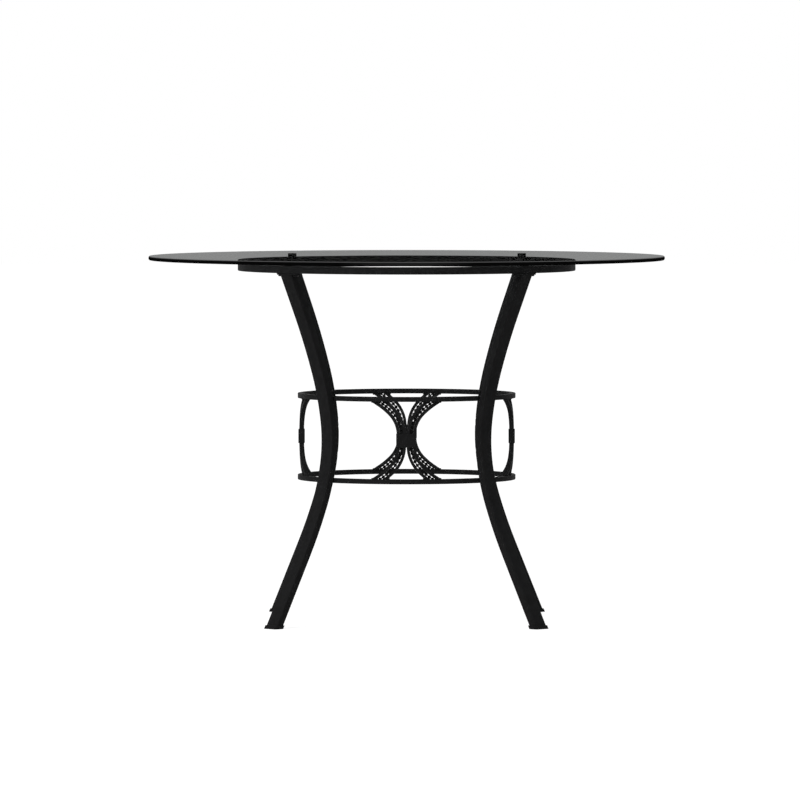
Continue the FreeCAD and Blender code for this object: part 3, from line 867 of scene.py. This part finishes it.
class TABLE_OT_make_studio(bpy.types.Operator):
    """Makes the floor, the sky, the lamps and the camera"""
    bl_idname = "table.make_studio"
    bl_label = "Make the studio"

    def execute(self, context):
        studio = context.scene.table_studio
        self.make_floor(studio)
        self.make_sky(context.scene, studio)
        self.make_lamp("key_lamp", studio.key_place, studio.key_size, studio.key_power)
        self.make_lamp("fill_lamp", studio.fill_place, studio.fill_size, studio.fill_power)
        self.place_camera(context.scene, studio)
        context.scene.view_settings.view_transform = "Standard"
        return {"FINISHED"}

    def make_floor(self, studio):
        """A large plain floor under the feet."""
        bm = bmesh.new()
        bmesh.ops.create_grid(bm, x_segments=12, y_segments=12, size=studio.floor_size / 2)
        mesh = bpy.data.meshes.new("studio_floor")
        bm.to_mesh(mesh)
        bm.free()
        floor = bpy.data.objects.new("studio_floor", mesh)
        bpy.context.scene.collection.objects.link(floor)
        floor.data.materials.append(studio_floor())
        floor.location.z = cad_low.z - FLOOR_GAP

    def make_sky(self, scene, studio):
        """A world that looks white and lights the table less than that."""
        nodes = Nodes(bpy.data.worlds.new("studio_sky"), "ShaderNodeOutputWorld")
        seen = nodes.add("ShaderNodeBackground", Color=(1, 1, 1, 1), Strength=1.0)
        lit = nodes.add("ShaderNodeBackground", Color=(1, 1, 1, 1), Strength=studio.sky_strength)
        scene.world = nodes.finish(nodes.mix(viewed(nodes), lit.outputs[0], seen.outputs[0]))

    def make_lamp(self, name, place, size, power):
        """A square lamp that faces the middle of the table."""
        data = bpy.data.lights.new(name, "AREA")
        data.shape = "SQUARE"
        data.size = size
        data.energy = power
        lamp = bpy.data.objects.new(name, data)
        lamp.location = place
        middle = (cad_low + cad_high) / 2
        lamp.rotation_euler = (middle - Vector(place)).to_track_quat("-Z", "Y").to_euler()
        lamp.visible_glossy = False
        bpy.context.scene.collection.objects.link(lamp)

    def place_camera(self, scene, studio):
        """The camera at the photograph's place."""
        data = bpy.data.cameras.new("camera")
        data.lens = studio.lens
        data.sensor_width = 36.0
        data.clip_end = 200.0
        camera = bpy.data.objects.new("camera", data)
        camera.location = tuple(studio.camera_place)
        camera.rotation_euler = (math.pi / 2 - studio.camera_pitch, 0, studio.camera_turn)
        scene.collection.objects.link(camera)
        scene.camera = camera


class TABLE_PT_panel(bpy.types.Panel):
    """Lists the steps that dress the table"""
    bl_label = "Round glass table"
    bl_space_type = "VIEW_3D"
    bl_region_type = "UI"
    bl_category = "Table"

    def draw(self, context):
        for operator in OPERATORS:
            self.layout.operator(operator.bl_idname)


OPERATORS = (
    TABLE_OT_paint_base,
    TABLE_OT_dress_fasteners,
    TABLE_OT_make_ribbons,
    TABLE_OT_make_welds,
    TABLE_OT_make_glass_top,
    TABLE_OT_make_pads,
    TABLE_OT_dress_caps,
    TABLE_OT_make_studio,
)


def register():
    """Registers the settings, the steps and the panel."""
    for name, group in SETTINGS:
        bpy.utils.register_class(group)
        setattr(bpy.types.Scene, name, PointerProperty(type=group))
    for operator in OPERATORS:
        bpy.utils.register_class(operator)
    bpy.utils.register_class(TABLE_PT_panel)


def unregister():
    """Takes back what register did, in the other order."""
    bpy.utils.unregister_class(TABLE_PT_panel)
    for operator in reversed(OPERATORS):
        bpy.utils.unregister_class(operator)
    for name, group in reversed(SETTINGS):
        delattr(bpy.types.Scene, name)
        bpy.utils.unregister_class(group)


def main():
    """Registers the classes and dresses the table."""
    register()
    for operator in OPERATORS:
        group, step = operator.bl_idname.split(".")
        getattr(getattr(bpy.ops, group), step)()


if __name__ == "__main__":
    main()
